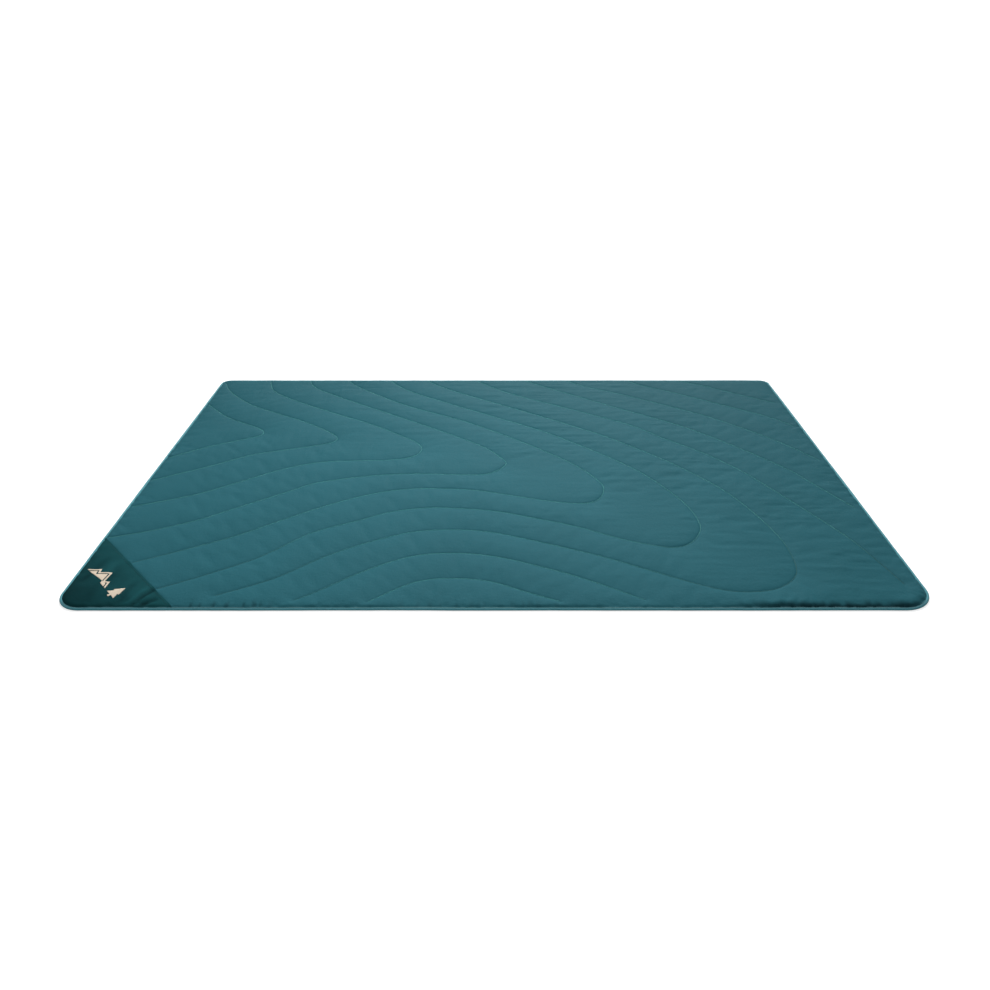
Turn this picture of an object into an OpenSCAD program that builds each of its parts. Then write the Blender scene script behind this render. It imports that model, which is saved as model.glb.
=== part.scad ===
// Quilted camp blanket, laid out flat with its face side up.
// Millimetres. The origin is the centre of the underside, +X runs along the long side to the
// right, +Y to the back edge and +Z up. The front left corner carries a darker sewn-in patch.

/* [Size] */
// Length of the long side
blanket_length = 1905; // [1500:5:2100]
// Width from the front edge to the back edge
blanket_width = 1321; // [1050:1:1500]
// Corner radius at the front left
front_left_r = 60; // [25:1:90]
// Corner radius at the front right
front_right_r = 74; // [25:1:90]
// Corner radius of the two back corners
back_r = 30; // [25:1:90]

/* [Layers] */
// Thickness of the face, back, patch and binding fabric
fabric_t = 0.4; // [0.2:0.1:0.6]
// Height from the underside to the top of the face fabric
loft = 10; // [8:0.5:18]
// Distance from the outline at which the full loft begins
loft_inset = 22; // [16:1:24]

/* [Edge binding] */
// Width of the binding where it laps the face
binding_w = 8; // [6:0.5:10]
// Height of the bound edge
binding_h = 5.5; // [4:0.5:7]

/* [Corner patch] */
// Length of the patch along the front edge
patch_front = 265; // [200:5:320]
// Length of the patch along the left edge
patch_left = 290; // [220:5:360]
// Thickness of the printed mark
mark_t = 0.2; // [0.1:0.1:0.3]

/* [Stitching] */
// Width of a line of stitching
thread_w = 1.2; // [0.8:0.1:2]
// Height of the thread above the fabric
thread_h = 0.4; // [0.2:0.1:0.6]
// Curve steps between two neighbouring waypoints of a quilting seam
seam_steps = 4; // [3:1:6]

/* [Care label] */
// Length of the care label, along the back edge
label_l = 45; // [30:5:60]
// Width of the care label
label_w = 28; // [20:1:40]
// Thickness of the care label
label_t = 0.2; // [0.1:0.1:0.3]

/* [Hidden] */
$fn = 64;
SEAM_COUNT = 14;
function seam_name(i) = str("quilt_seam_", i < 9 ? "0" : "", i + 1);

// Colours
FACE_COLOUR = [0.22, 0.42, 0.47];
BACK_COLOUR = [0.18, 0.36, 0.41];
PATCH_COLOUR = [0.07, 0.23, 0.26];
BINDING_COLOUR = [0.36, 0.56, 0.60];
THREAD_COLOUR = [0.40, 0.62, 0.58];
FILL_COLOUR = [0.93, 0.93, 0.90];
MARK_COLOUR = [0.85, 0.78, 0.68];

half_x = blanket_length / 2;
half_y = blanket_width / 2;
margin_face_z = binding_h - 2 * fabric_t;   // underside of the face fabric inside the binding
seam_end_inset = loft_inset + 2;            // the seams stay on the flat of the face
binding_stitch_inset = binding_w - 2;       // stitch line on the binding, from the outline
patch_stitch_inset = 4;                     // stitch line on the patch, from its diagonal edge
label_x = 760;                              // the care label's middle along the back edge

// The quilting is drawn like the contour lines of a hill. Each seam is a smooth curve through
// waypoints, from the centre of a 1905 by 1321 blanket, and scales with the blanket.
SEAM_SCALE = [blanket_length / 1905, blanket_width / 1321];
SEAMS = [
    // 1 and 2: small noses at the left edge
    [[-935, 435], [-850, 340], [-750, 270], [-710, 235], [-710, 205], [-750, 180], [-850, 125],
     [-925, 65]],
    [[-930, 615], [-890, 540], [-800, 440], [-700, 370], [-600, 305], [-515, 235], [-475, 185],
     [-495, 150], [-600, 110], [-700, 75], [-800, 5], [-935, -80]],
    // 3 to 5: longer noses that swing back to the left edge
    [[-785, 655], [-750, 555], [-650, 465], [-500, 360], [-400, 295], [-300, 215], [-235, 155],
     [-215, 105], [-240, 60], [-300, 40], [-400, 35], [-500, 25], [-600, -20], [-700, -95],
     [-800, -165], [-935, -225]],
    [[-645, 655], [-610, 580], [-450, 450], [-250, 300], [-50, 140], [15, 55], [30, 10],
     [-20, -45], [-100, -50], [-200, -45], [-300, -50], [-400, -70], [-490, -100], [-550, -145],
     [-650, -220], [-750, -295], [-850, -345], [-935, -375]],
    [[-510, 655], [-470, 595], [-300, 440], [-100, 310], [50, 185], [150, 90], [235, -5],
     [285, -95], [290, -140], [270, -190], [230, -210], [150, -200], [50, -170], [-50, -140],
     [-150, -130], [-250, -135], [-350, -170], [-450, -230], [-550, -305], [-650, -380],
     [-840, -485]],
    // 6 and 7: the two tall noses, with a wave along their lower side
    [[-370, 655], [-300, 565], [-200, 485], [0, 340], [150, 230], [300, 85], [400, -30],
     [465, -145], [500, -235], [510, -315], [495, -365], [465, -405], [425, -420], [375, -410],
     [300, -380], [200, -325], [100, -285], [0, -250], [-100, -235], [-180, -233],
     [-270, -255], [-350, -300], [-450, -355], [-550, -460], [-650, -530], [-750, -590]],
    [[-235, 650], [-185, 595], [-100, 525], [100, 380], [300, 225], [400, 130], [500, 20],
     [600, -120], [655, -245], [690, -375], [695, -455], [685, -525], [650, -570], [600, -595],
     [525, -598], [450, -570], [350, -515], [250, -460], [150, -415], [0, -355], [-100, -340],
     [-200, -350], [-300, -395], [-400, -460], [-500, -550], [-615, -615]],
    // 8 to 12: diagonals that run out at the right edge
    [[-70, 655], [50, 535], [250, 400], [350, 330], [400, 295], [450, 250], [500, 190],
     [600, 90], [675, -10], [730, -110], [850, -360], [885, -470], [910, -570]],
    [[100, 655], [200, 570], [400, 410], [600, 250], [800, 10], [870, -120], [925, -230]],
    [[250, 655], [300, 605], [450, 510], [650, 365], [750, 270], [850, 155], [925, 40]],
    [[465, 650], [500, 610], [600, 545], [800, 395], [880, 330], [925, 270]],
    [[640, 650], [700, 615], [750, 580], [850, 505], [920, 455]],
    // 13 and 14: arches at the front edge
    [[-435, -630], [-400, -605], [-300, -520], [-200, -460], [-100, -445], [0, -460],
     [100, -500], [200, -550], [325, -630]],
    [[-280, -640], [-200, -575], [-150, -553], [-100, -548], [-50, -552], [0, -565],
     [80, -607], [140, -635]]
];

// Point at share t between points b and c of a Catmull-Rom curve through a, b, c and d.
function curve_point(a, b, c, d, t) =
    0.5 * (2 * b + (c - a) * t + (2 * a - 5 * b + 4 * c - d) * t ^ 2
           + (3 * b - a - 3 * c + d) * t ^ 3);

// The whole curve through the waypoints p, whose end points are counted twice.
function smooth_curve(p) = concat(
    [for (i = [0 : len(p) - 2], s = [0 : seam_steps - 1])
        curve_point(p[max(i - 1, 0)], p[i], p[i + 1], p[min(i + 2, len(p) - 1)],
                    s / seam_steps)],
    [p[len(p) - 1]]);

// Unit vector to the left of the curve c at its point i.
function left_of(c, i) =
    let (v = c[min(i + 1, len(c) - 1)] - c[max(i - 1, 0)]) [-v.y, v.x] / norm(v);

// Rounded rectangle, set in from the blanket's outline by inset.
module outline(inset = 0) {
    x = half_x - inset;
    y = half_y - inset;
    fl = max(front_left_r - inset, 1);
    fr = max(front_right_r - inset, 1);
    b = max(back_r - inset, 1);
    polygon([[-x, -y + fl], [-x + fl, -y], [x - fr, -y], [x, -y + fr],
             [x, y - b], [x - b, y], [-x + b, y], [-x, y - b]]);
    translate([-x + fl, -y + fl]) circle(fl);
    translate([x - fr, -y + fr]) circle(fr);
    for (side = [-1, 1]) translate([side * (x - b), y - b]) circle(b);
}

// Flat layer between two heights, set in from the outline.
module layer(z_low, z_high, inset) {
    translate([0, 0, z_low]) linear_extrude(z_high - z_low) outline(inset);
}

// Ring between two heights and two insets.
module ring(z_low, z_high, inset_out, inset_in) {
    translate([0, 0, z_low]) linear_extrude(z_high - z_low) difference() {
        outline(inset_out);
        outline(inset_in);
    }
}

// Sloping body of the loft, from the bound edge up to the flat top.
module loft_form(inset_low, z_high) {
    slab = 0.02;
    hull() {
        layer(margin_face_z, margin_face_z + slab, inset_low);
        layer(z_high - slab, z_high, loft_inset);
    }
}

// Everything beyond the patch's diagonal, moved towards the corner by inset.
module patch_region(inset = 0) {
    reach = 20;
    diagonal = norm([patch_front, patch_left]);
    share = 1 - inset * diagonal / (patch_front * patch_left);
    left_point = -half_y + patch_left * share;
    front_point = -half_x + patch_front * share;
    slope = patch_left / patch_front;
    translate([0, 0, -1]) linear_extrude(loft + 10)
        polygon([[-half_x - reach, left_point + reach * slope],
                 [front_point + reach / slope, -half_y - reach],
                 [-half_x - reach, -half_y - reach]]);
}

// The one skin that the face fabric and the corner patch share between them.
module face_skin() {
    wall = 0.5;
    ring(margin_face_z, margin_face_z + fabric_t, fabric_t, binding_w + wall / 2);
    difference() {
        loft_form(binding_w, loft);
        loft_form(binding_w + wall, loft - fabric_t);
    }
}

module back_fabric() {
    color(BACK_COLOUR) difference() {
        union() {
            layer(0, fabric_t, binding_w);
            ring(fabric_t, 2 * fabric_t, fabric_t, binding_w + 1);
        }
        care_label_form();
    }
}

module insulation() {
    wall = 0.5;
    color(FILL_COLOUR) {
        layer(fabric_t, 2 * fabric_t, binding_w + 1);
        layer(2 * fabric_t, margin_face_z, fabric_t);
        loft_form(binding_w + wall, loft - fabric_t);
    }
}

module face_fabric() {
    color(FACE_COLOUR) difference() {
        face_skin();
        patch_region();
    }
}

module corner_patch() {
    color(PATCH_COLOUR) intersection() {
        face_skin();
        patch_region();
    }
}

// Straight row of stitches along the patch's diagonal edge.
module corner_patch_thread() {
    color(THREAD_COLOUR) intersection() {
        layer(loft, loft + thread_h, seam_end_inset);
        difference() {
            patch_region(patch_stitch_inset);
            patch_region(patch_stitch_inset + thread_w);
        }
    }
}

// Printed mark: a range of hills beside a pine tree, parallel to the patch's diagonal.
module corner_mark() {
    ridge = [[0, 0], [24, 24], [34, 16], [54, 36], [76, 10], [86, 18], [104, 0]];
    outline_w = [0, 6];
    gap_w = [0, 10];
    slope = atan2(-patch_left, patch_front);
    color(MARK_COLOUR)
        translate([-half_x + 22, -half_y + 146, loft])
            rotate(slope)
                linear_extrude(mark_t) {
                    difference() {
                        polygon(ridge);
                        polygon(concat([for (p = ridge) p - outline_w],
                                       [for (i = [len(ridge) - 1 : -1 : 0]) ridge[i] - gap_w]));
                    }
                    polygon([[131, -6], [137, -6], [137, 0], [151, 0], [142, 13], [147, 13],
                             [134, 34], [121, 13], [126, 13], [117, 0], [131, 0]]);
                }
}

// Tape folded round the edge: a lip below, a lip above and the outer wall between them.
module edge_binding() {
    color(BINDING_COLOUR) {
        ring(0, fabric_t, 0, binding_w);
        ring(0, binding_h, 0, fabric_t);
        ring(binding_h - fabric_t, binding_h, 0, binding_w);
    }
}

module binding_thread() {
    color(THREAD_COLOUR)
        ring(binding_h, binding_h + thread_h, binding_stitch_inset,
             binding_stitch_inset + thread_w);
}

module care_label_form() {
    translate([label_x - label_l / 2, half_y - binding_w - label_w, 0])
        cube([label_l, label_w, label_t]);
}

// Blank label let into the underside, against the binding of the back edge.
module care_label() {
    color(MARK_COLOUR) care_label_form();
}

// One line of quilting thread, lying on the flat of the face.
module quilt_seam(i) {
    curve = smooth_curve([for (p = SEAMS[i]) [p.x * SEAM_SCALE.x, p.y * SEAM_SCALE.y]]);
    last = len(curve) - 1;
    half_w = thread_w / 2;
    color(THREAD_COLOUR) difference() {
        intersection() {
            translate([0, 0, loft]) linear_extrude(thread_h)
                polygon(concat(
                    [for (k = [0 : last]) curve[k] + half_w * left_of(curve, k)],
                    [for (k = [last : -1 : 0]) curve[k] - half_w * left_of(curve, k)]));
            layer(loft - 1, loft + thread_h + 1, seam_end_inset);
        }
        patch_region(-1);
    }
}

back_fabric();
insulation();
face_fabric();
corner_patch();
corner_patch_thread();
corner_mark();
edge_binding();
binding_thread();
care_label();
for (i = [0 : SEAM_COUNT - 1])
    quilt_seam(i);
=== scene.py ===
"""Quilted camp blanket, laid out flat. Every length is in metres, in the CAD model's frame."""
import math

import bpy
import numpy as np
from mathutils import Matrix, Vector, kdtree
from mathutils.bvhtree import BVHTree
from mathutils.geometry import delaunay_2d_cdt


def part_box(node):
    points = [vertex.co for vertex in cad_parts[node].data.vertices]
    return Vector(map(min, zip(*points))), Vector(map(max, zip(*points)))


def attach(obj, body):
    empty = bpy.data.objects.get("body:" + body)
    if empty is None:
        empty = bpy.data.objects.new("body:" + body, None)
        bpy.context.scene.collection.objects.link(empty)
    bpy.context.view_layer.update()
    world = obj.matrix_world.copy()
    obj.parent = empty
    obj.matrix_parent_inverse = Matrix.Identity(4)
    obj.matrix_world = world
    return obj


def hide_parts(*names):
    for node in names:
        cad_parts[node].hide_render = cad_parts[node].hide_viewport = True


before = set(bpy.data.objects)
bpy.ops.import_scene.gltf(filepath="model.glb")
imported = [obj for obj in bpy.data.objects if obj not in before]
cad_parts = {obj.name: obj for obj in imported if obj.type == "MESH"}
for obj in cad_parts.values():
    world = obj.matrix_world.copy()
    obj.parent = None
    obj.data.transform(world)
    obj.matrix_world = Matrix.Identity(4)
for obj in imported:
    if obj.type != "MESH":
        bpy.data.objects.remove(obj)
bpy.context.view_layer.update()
MM = 0.001

# -------- sizes taken from the frame
HALF_X, HALF_Y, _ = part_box("edge_binding")[1]
PATCH_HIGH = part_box("corner_patch")[1]
CORNER_R = {"front_left": 60 * MM, "front_right": 74 * MM, "back": 30 * MM}
LAP = 8 * MM                 # how far the binding laps the face
TAPE_WIDTH = 22 * MM         # width of the binding's tape before it is folded
PATCH_FRONT = PATCH_HIGH.x + HALF_X
PATCH_LEFT = PATCH_HIGH.y + HALF_Y

# -------- heights of the quilting
SEAM_Z = 5.6 * MM            # top of the fabric where a quilting seam pulls it down
EDGE_Z = 4.2 * MM            # top of the fabric under the binding's lip
PATCH_SEAM_Z = 7.0 * MM      # top of the fabric at the patch's diagonal seam
TOP_MEAN = 10.0 * MM         # mean top of the puffs
TOP_Z = 16 * MM              # no puff rises above this
PINCH = 1.2 * MM             # how deep the thread itself pulls the cloth in
PINCH_REACH = 3.2 * MM       # how far that pinch reaches, to 1/e
SWELL_REACH = 36 * MM        # how far the gentle rise of the puff reaches, to 1/e
EDGE_REACH = 3 * MM          # how far it reaches from the bound edge
EDGE_ROWS = (LAP + 0.5 * MM, LAP + 3 * MM, LAP + 6 * MM, LAP + 10 * MM)  # extra rows of points
GRID = 6.2 * MM              # spacing of the cloth's points
CLOTH_GROWTH = 0.006         # how much larger than its space the simulated cloth is cut
CLOTH_FRAMES = 12            # frames of cloth simulation
WRINKLE_SHARE = 0.6          # share of the simulated wrinkles that is kept


# -------- outline and its distances
def corner_radius(x, y):
    """Corner radius that applies to the quarter of the blanket that holds each point."""
    front = np.where(x < 0, CORNER_R["front_left"], CORNER_R["front_right"])
    return np.where(y < 0, front, CORNER_R["back"])


def edge_distance(x, y):
    """Distance of each point inwards from the blanket's outline."""
    r = corner_radius(x, y)
    qx = np.abs(x) - (HALF_X - r)
    qy = np.abs(y) - (HALF_Y - r)
    outside = np.hypot(np.maximum(qx, 0), np.maximum(qy, 0))
    return r - outside - np.minimum(np.maximum(qx, qy), 0)


def outline(inset, step):
    """Points at an even spacing along the outline, set in by inset, counter-clockwise."""
    corners = [(1, -1, CORNER_R["front_right"], -90), (1, 1, CORNER_R["back"], 0),
               (-1, 1, CORNER_R["back"], 90), (-1, -1, CORNER_R["front_left"], 180)]
    path = []
    for sx, sy, r, start in corners:
        centre = np.array([sx * (HALF_X - r), sy * (HALF_Y - r)])
        for k in range(25):
            a = math.radians(start + 90 * k / 24)
            path.append(centre + (r - inset) * np.array([math.cos(a), math.sin(a)]))
    path.append(path[0])
    return even(np.array(path), step)[:-1]


def even(path, step):
    """Points at an even spacing along a path."""
    along = np.concatenate([[0], np.cumsum(np.linalg.norm(np.diff(path, axis=0), axis=1))])
    count = max(2, int(round(along[-1] / step)) + 1)
    at = np.linspace(0, along[-1], count)
    return np.stack([np.interp(at, along, path[:, k]) for k in range(path.shape[1])], axis=1)


def normals_2d(path, closed=False):
    """Unit vectors to the left of a path."""
    if closed:
        run = np.roll(path, -1, axis=0) - np.roll(path, 1, axis=0)
    else:
        run = np.gradient(path, axis=0)
    run /= np.linalg.norm(run, axis=1)[:, None]
    return np.stack([-run[:, 1], run[:, 0]], axis=1)


# -------- seam routes from the frame
def top_loop(node):
    """Outline of a flat CAD node, seen from above, as an ordered loop of points."""
    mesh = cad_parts[node].data
    top = max(v.co.z for v in mesh.vertices)
    uses = {}
    for face in mesh.polygons:
        corners = [mesh.vertices[i].co for i in face.vertices]
        if min(c.z for c in corners) < top - 0.02 * MM:
            continue
        keys = [(round(c.x * 1e6), round(c.y * 1e6)) for c in corners]
        for a, b in zip(keys, keys[1:] + keys[:1]):
            edge = (min(a, b), max(a, b))
            uses[edge] = uses.get(edge, 0) + 1
    links = {}
    for (a, b), n in uses.items():
        if n == 1:
            links.setdefault(a, []).append(b)
            links.setdefault(b, []).append(a)
    loops = []
    left = set(links)
    while left:
        loop = [min(left)]
        left.discard(loop[0])
        while True:
            following = [k for k in links[loop[-1]] if k in left]
            if not following:
                break
            loop.append(following[0])
            left.discard(following[0])
        loops.append(np.array(loop) * 1e-6)
    return loops


def rounded(route):
    """Route whose short straight steps are eased into one smooth curve."""
    route = even(route, 3 * MM)
    for _ in range(12):
        route[1:-1] = 0.25 * route[:-2] + 0.5 * route[1:-1] + 0.25 * route[2:]
    return route


def seam_route(node):
    """Middle line of a stitched ribbon: its two long sides are paired and averaged."""
    loop = top_loop(node)[0]
    n = len(loop)
    best = None
    for i in range(n):
        for j in range(i + n // 2 - 3, i + n // 2 + 4):
            j %= n
            a, a2, b, b2 = loop[i], loop[(i + 1) % n], loop[j], loop[(j + 1) % n]
            cost = np.linalg.norm(a - a2) + np.linalg.norm(b - b2)
            if best is None or cost < best[0]:
                best = (cost, i, j)
    _, i, j = best
    if i > j:
        i, j = j, i
    side_a = loop[i + 1:j + 1]
    side_b = np.concatenate([loop[j + 1:], loop[:i + 1]])[::-1]
    count = 400
    a = even(side_a, np.linalg.norm(np.diff(side_a, axis=0), axis=1).sum() / count)
    b = even(side_b, np.linalg.norm(np.diff(side_b, axis=0), axis=1).sum() / count)
    m = min(len(a), len(b))
    return rounded((a[:m] + b[:m]) / 2)


BACK_STOP = 9 * MM           # how near the outline a seam ends at the back edge
LEFT_STOP = 13 * MM          # and at the left edge
NEAR_EDGE = 40 * MM          # a seam that ends nearer than this runs on to the edge
LONGEST_RUN = 30             # by this many millimetres at most


def run_out(route):
    """Route made longer, straight on, where it ends near the left or the back edge."""
    for turn in (1, -1):
        end, before = route[::turn][0], route[::turn][8]
        step = (end - before) / np.linalg.norm(end - before) * MM
        ends_at_back = end[1] > HALF_Y - NEAR_EDGE
        stop = BACK_STOP if ends_at_back else LEFT_STOP
        if ends_at_back or end[0] < -HALF_X + NEAR_EDGE:
            extra = []
            while edge_distance(*(end + step)) > stop and len(extra) < LONGEST_RUN:
                end = end + step
                extra.append(end)
            if extra:
                route = np.concatenate([extra[::-1], route[::turn]])[::turn]
    return route


SEAMS = {n: run_out(seam_route(n)) for n in sorted(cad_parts)
         if n.startswith("quilt_seam_")}


# -------- the patch's diagonal
PATCH_A = np.array([-HALF_X, -HALF_Y + PATCH_LEFT])      # where the diagonal meets the left edge
PATCH_B = np.array([-HALF_X + PATCH_FRONT, -HALF_Y])     # where it meets the front edge
PATCH_RUN = (PATCH_B - PATCH_A) / np.linalg.norm(PATCH_B - PATCH_A)
PATCH_OUT = np.array([-PATCH_RUN[1], PATCH_RUN[0]])      # away from the corner


def patch_distance(x, y):
    """Distance from the patch's diagonal, positive on the side of the face fabric."""
    return (x - PATCH_A[0]) * PATCH_OUT[0] + (y - PATCH_A[1]) * PATCH_OUT[1]


# -------- points of the cloth
def tree_of(points):
    """Search tree over points, seen from above."""
    tree = kdtree.KDTree(len(points))
    for k, p in enumerate(points):
        tree.insert((p[0], p[1], 0), k)
    tree.balance()
    return tree


def cloth_plan(spacing, face_inset, rows=()):
    """Flat triangulation of the whole top or bottom cloth, with every seam along its edges.

    Returns the points, the triangles, and for each point whether it is sewn to a quilting
    seam, to the outline or to the patch's diagonal."""
    fixed = [outline(face_inset, spacing * 0.9)]
    kinds = ["outline"]
    diagonal = even(np.array([PATCH_A, PATCH_B]), spacing * 0.9)
    diagonal = diagonal[edge_distance(diagonal[:, 0], diagonal[:, 1]) > face_inset + 0.5 * spacing]
    fixed.append(diagonal)
    kinds.append("diagonal")
    for route in SEAMS.values():
        r = even(route, spacing * 0.8)
        far = np.abs(patch_distance(r[:, 0], r[:, 1])) > 0.5 * spacing
        inside = edge_distance(r[:, 0], r[:, 1]) > face_inset + 0.5 * spacing
        fixed.append(r[far & inside])
        kinds.append("seam")
    points = []
    edges = []
    owner = []
    for line, kind in zip(fixed, kinds):
        first = len(points)
        points.extend(line)
        owner.extend([kind] * len(line))
        edges += [(first + k, first + k + 1) for k in range(len(line) - 1)]
        if kind == "outline":
            edges.append((first + len(line) - 1, first))
    fixed_tree = tree_of(points)
    beside = []
    for line, kind in zip(fixed[1:], kinds[1:]):
        left = normals_2d(line)
        for offset in (0.35, 0.8, 1.45):
            for side in (-1, 1):
                beside.append(line + left * offset * spacing * side)
    for inset in rows:
        beside.append(outline(inset, spacing * 0.8))
    beside = np.concatenate(beside)
    beside = beside[edge_distance(beside[:, 0], beside[:, 1]) > face_inset + 0.4 * spacing]
    keep = [p for p in beside if fixed_tree.find((p[0], p[1], 0))[2] > 0.3 * spacing]
    tree = tree_of(points + keep)
    rng = np.random.default_rng(7)
    row = spacing * math.sqrt(3) / 2
    ny = int(2 * HALF_Y / row) + 1
    nx = int(2 * HALF_X / spacing) + 2
    gx, gy = np.meshgrid(np.arange(nx), np.arange(ny))
    grid = np.stack([-HALF_X + (gx + 0.5 * (gy % 2)) * spacing, -HALF_Y + gy * row], axis=-1)
    grid = grid.reshape(-1, 2) + rng.uniform(-0.3, 0.3, (nx * ny, 2)) * spacing
    grid = grid[edge_distance(grid[:, 0], grid[:, 1]) > face_inset + 0.6 * spacing]
    free = [p for p in grid if tree.find((p[0], p[1], 0))[2] > 0.62 * spacing]
    everything = np.array(points + keep + free)
    made = delaunay_2d_cdt([Vector(p / MM) for p in everything], edges, [], 1, 1e-4)
    flat = np.array([v[:] for v in made[0]]) * MM
    triangles = np.array(made[2])
    kind_of = np.array(["free"] * len(flat), dtype="<U8")
    for k, origins in enumerate(made[3]):
        for o in origins:
            if o < len(owner):
                kind_of[k] = owner[o]
    a, b, c = (flat[triangles[:, k]] for k in range(3))
    turn = (b[:, 0] - a[:, 0]) * (c[:, 1] - a[:, 1]) - (b[:, 1] - a[:, 1]) * (c[:, 0] - a[:, 0])
    triangles[turn < 0] = triangles[turn < 0][:, ::-1]
    return flat, triangles, kind_of


def nearest(lines, points, step=1.5 * MM):
    """Distance of each point to the nearest of some lines, and the way along them there.

    The way along runs on from one line to the next, so it also tells the lines apart."""
    tree = tree_of(np.concatenate([even(line, step) for line in lines]))
    found = [tree.find((p[0], p[1], 0))[1:] for p in points]
    away = np.array([f[1] for f in found])
    along = np.array([f[0] for f in found]) * step
    return away, along


def add_object(name, data):
    """New object in the scene that shows a mesh, a light or a camera."""
    made = bpy.data.objects.new(name, data)
    bpy.context.scene.collection.objects.link(made)
    return made


def mesh_object(name, points, triangles):
    """New mesh object from arrays of points and triangles."""
    mesh = bpy.data.meshes.new(name)
    mesh.vertices.add(len(points))
    mesh.vertices.foreach_set("co", np.asarray(points, dtype=np.float32).ravel())
    mesh.loops.add(3 * len(triangles))
    mesh.loops.foreach_set("vertex_index", np.asarray(triangles, dtype=np.int32).ravel())
    mesh.polygons.add(len(triangles))
    mesh.polygons.foreach_set("loop_start", np.arange(0, 3 * len(triangles), 3, dtype=np.int32))
    mesh.update()
    mesh.validate()
    mesh.polygons.foreach_set("use_smooth", np.ones(len(mesh.polygons), dtype=bool))
    return add_object(name, mesh)


def points_of(piece):
    """Points of an object's mesh, as an array."""
    out = np.empty(3 * len(piece.data.vertices), dtype=np.float32)
    piece.data.vertices.foreach_get("co", out)
    return out.reshape(-1, 3).astype(float)


# -------- noise
def lattice(ix, iy, seed):
    """Repeatable value from -1 to 1 for each whole-number cell."""
    h = (ix.astype(np.int64) * 374761393 + iy.astype(np.int64) * 668265263
         + seed * 2147483647) & 0xFFFFFFFF
    h = ((h ^ (h >> 13)) * 1274126177) & 0xFFFFFFFF
    h = ((h ^ (h >> 16)) * 2246822519) & 0xFFFFFFFF
    return ((h ^ (h >> 15)) & 0xFFFF) / 32767.5 - 1


def noise(x, y, seed):
    """Smooth value noise from about -1 to 1 with a feature size of one."""
    ix, iy = np.floor(x), np.floor(y)
    fx, fy = x - ix, y - iy
    fx = fx * fx * fx * (fx * (6 * fx - 15) + 10)
    fy = fy * fy * fy * (fy * (6 * fy - 15) + 10)
    low = lattice(ix, iy, seed) * (1 - fx) + lattice(ix + 1, iy, seed) * fx
    high = lattice(ix, iy + 1, seed) * (1 - fx) + lattice(ix + 1, iy + 1, seed) * fx
    return low * (1 - fy) + high * fy


def smoothstep(low, high, value):
    """0 below low, 1 above high, and smooth between."""
    t = np.clip((value - low) / (high - low), 0, 1)
    return t * t * (3 - 2 * t)


# -------- height of the quilting
def soft_low(values, blend):
    """Smooth minimum of several arrays."""
    return -blend * np.log(sum(np.exp(-v / blend) for v in values))


def front_right(x, y):
    """1 along the front edge near its right corner, where the face is gathered most, else 0."""
    return smoothstep(0.46, 0.68, x) * smoothstep(-0.50, -0.60, y)


def at_back(y):
    """1 along the back edge, else 0."""
    return smoothstep(HALF_Y - 90 * MM, HALF_Y - 40 * MM, y)


def rise(away, puff, low, reach=SWELL_REACH):
    """Height beside a line that holds the cloth at low: a tight pinch, then a slow swell."""
    pinch = PINCH * (1 - np.exp(-away / PINCH_REACH))
    return low + pinch + (puff - low - PINCH) * (1 - np.exp(-away / reach))


def quilt_height(x, y, seam_away):
    """Height of the face: a plateau of batting that every seam and the edge pull down."""
    inward = np.maximum(edge_distance(x, y) - 0.9 * LAP, 0)
    puff = TOP_MEAN + 0.7 * MM * noise(x / 0.16, y / 0.16, 3)
    low = (2.8 - 1.2 * at_back(y)) * (1 - front_right(x, y))
    puff -= low * MM * np.exp(-inward / (40 * MM))
    reach = EDGE_REACH * (1 + 2.4 * front_right(x, y) + 1.6 * at_back(y))
    from_seam = rise(seam_away, puff, SEAM_Z)
    from_edge = rise(inward, puff, EDGE_Z, reach)
    from_patch = rise(np.abs(patch_distance(x, y)), puff, PATCH_SEAM_Z)
    return soft_low([from_seam, from_edge, from_patch], 0.5 * MM)


# -------- cloth simulation
def simulate(flat, triangles, height, held, growth, frames):
    """Lets the face cloth swell between its seams, and returns its simulated points.

    The sewn points are pinned, a light pressure stands for the batting, and the cloth is cut
    a little larger than its space, so it puckers along the seams."""
    piece = mesh_object("cloth_study", np.column_stack([flat, height]), triangles)
    group = piece.vertex_groups.new(name="sewn")
    group.add([int(k) for k in np.flatnonzero(held)], 1.0, "REPLACE")
    cloth = piece.modifiers.new("Cloth", "CLOTH")
    s = cloth.settings
    s.quality = 4
    s.mass = 0.3
    s.tension_stiffness = 15
    s.compression_stiffness = 15
    s.shear_stiffness = 5
    s.bending_stiffness = 5
    s.use_pressure = True
    s.uniform_pressure_force = 4
    s.vertex_group_mass = "sewn"
    s.pin_stiffness = 1
    s.shrink_min = -growth
    s.effector_weights.gravity = 0
    cloth.collision_settings.use_collision = False
    scene = bpy.context.scene
    scene.frame_start = 1
    scene.frame_end = frames
    cloth.point_cache.frame_start = 1
    cloth.point_cache.frame_end = frames
    for f in range(1, frames + 1):
        scene.frame_set(f)
    posed = piece.evaluated_get(bpy.context.evaluated_depsgraph_get())
    out = points_of(posed)
    bpy.data.objects.remove(piece)
    scene.frame_set(1)
    return out


def edges_of(triangles):
    """The three edges of every triangle, as pairs of points."""
    return np.concatenate([triangles[:, [0, 1]], triangles[:, [1, 2]], triangles[:, [2, 0]]])


def neighbour_mean(values, pairs, count):
    """Mean of each point's neighbours, over the mesh's edges."""
    total = np.zeros_like(values)
    np.add.at(total, pairs[:, 0], values[pairs[:, 1]])
    np.add.at(total, pairs[:, 1], values[pairs[:, 0]])
    return total / count


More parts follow.
